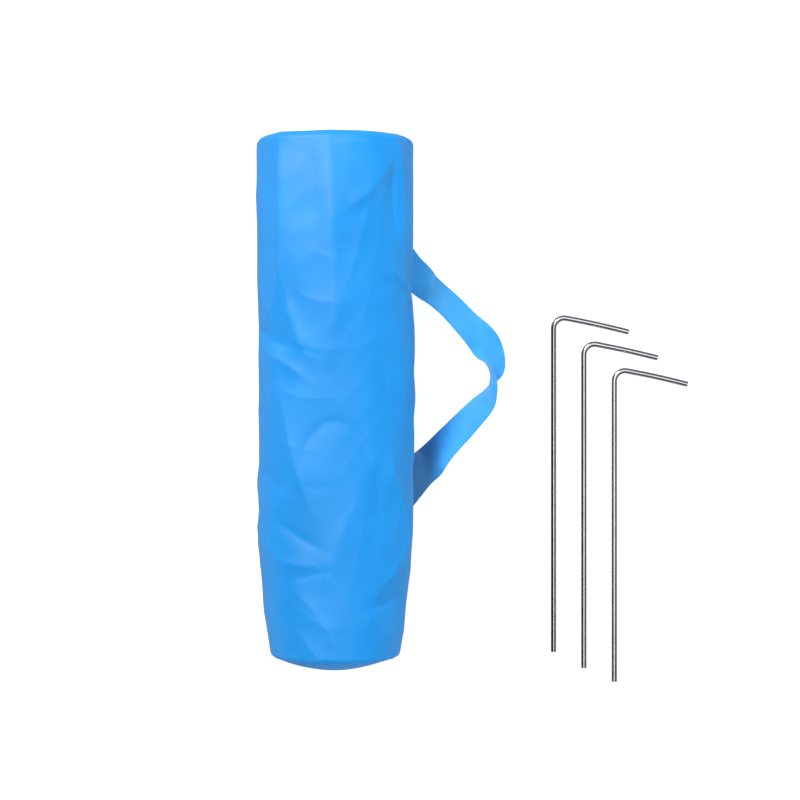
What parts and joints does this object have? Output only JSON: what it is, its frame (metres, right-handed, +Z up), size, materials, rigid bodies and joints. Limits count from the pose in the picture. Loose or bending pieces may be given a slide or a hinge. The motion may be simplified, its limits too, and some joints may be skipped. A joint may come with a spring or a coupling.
{
  "type": "packed teardrop flag kit",
  "caption": "Teardrop flag packed in its soft carry bag with a webbing carry strap, laid flat with its L-shaped ground pegs beside it.",
  "frame": {"origin": "middle of the flat underside that the bag lies on", "axes": "+Y along the bag to its gathered mouth, +X to the side with the strap and the pegs, +Z up"},
  "size_m": [0.314, 0.3938, 0.0918],
  "materials": {
    "bag_cloth": "coated polyester, soft sheen",
    "strap_webbing": "woven polypropylene webbing",
    "binding_tape": "woven tape",
    "sail_cloth": "thin knitted polyester, plain",
    "pole_fibreglass": "pulled glass fibre rod, satin",
    "ferrule_steel": "satin",
    "plated_steel": "bright plated wire"
  },
  "bodies": {
    "bag": {"bag_side_wall": "bag_cloth", "base_panel": "bag_cloth", "base_seam_binding": "binding_tape", "mouth_hem": "bag_cloth", "drawcord_eyelet": "plated_steel", "side_seam_binding": "binding_tape", "strap_tail_upper": "strap_webbing", "strap_tail_lower": "strap_webbing", "sail_roll": "sail_cloth", "pole_section_1": "pole_fibreglass", "pole_section_2": "pole_fibreglass", "pole_section_3": "pole_fibreglass", "pole_section_4": "pole_fibreglass", "pole_section_5": "pole_fibreglass", "pole_section_6": "pole_fibreglass", "pole_section_7": "pole_fibreglass", "pole_ferrule_1": "ferrule_steel", "pole_ferrule_2": "ferrule_steel", "pole_ferrule_3": "ferrule_steel", "pole_ferrule_4": "ferrule_steel", "pole_ferrule_5": "ferrule_steel", "pole_ferrule_6": "ferrule_steel"},
    "strap": {"strap_webbing": "strap_webbing"},
    "peg_1": {"ground_peg_1": "plated_steel"},
    "peg_2": {"ground_peg_2": "plated_steel"},
    "peg_3": {"ground_peg_3": "plated_steel"}
  },
  "joints": [
    {"name": "strap_swing", "type": "hinge", "parent": "bag", "child": "strap", "pos_m": [0.05446, 0, 0.027], "axis": [0, -1, 0], "range_deg": [0, 75]},
    {"name": "peg_1_lift", "type": "slide", "parent": "bag", "child": "peg_1", "axis": [0, 0, 1], "range_m": [0, 0.15]},
    {"name": "peg_2_lift", "type": "slide", "parent": "bag", "child": "peg_2", "axis": [0, 0, 1], "range_m": [0, 0.15]},
    {"name": "peg_3_lift", "type": "slide", "parent": "bag", "child": "peg_3", "axis": [0, 0, 1], "range_m": [0, 0.15]}
  ]
}
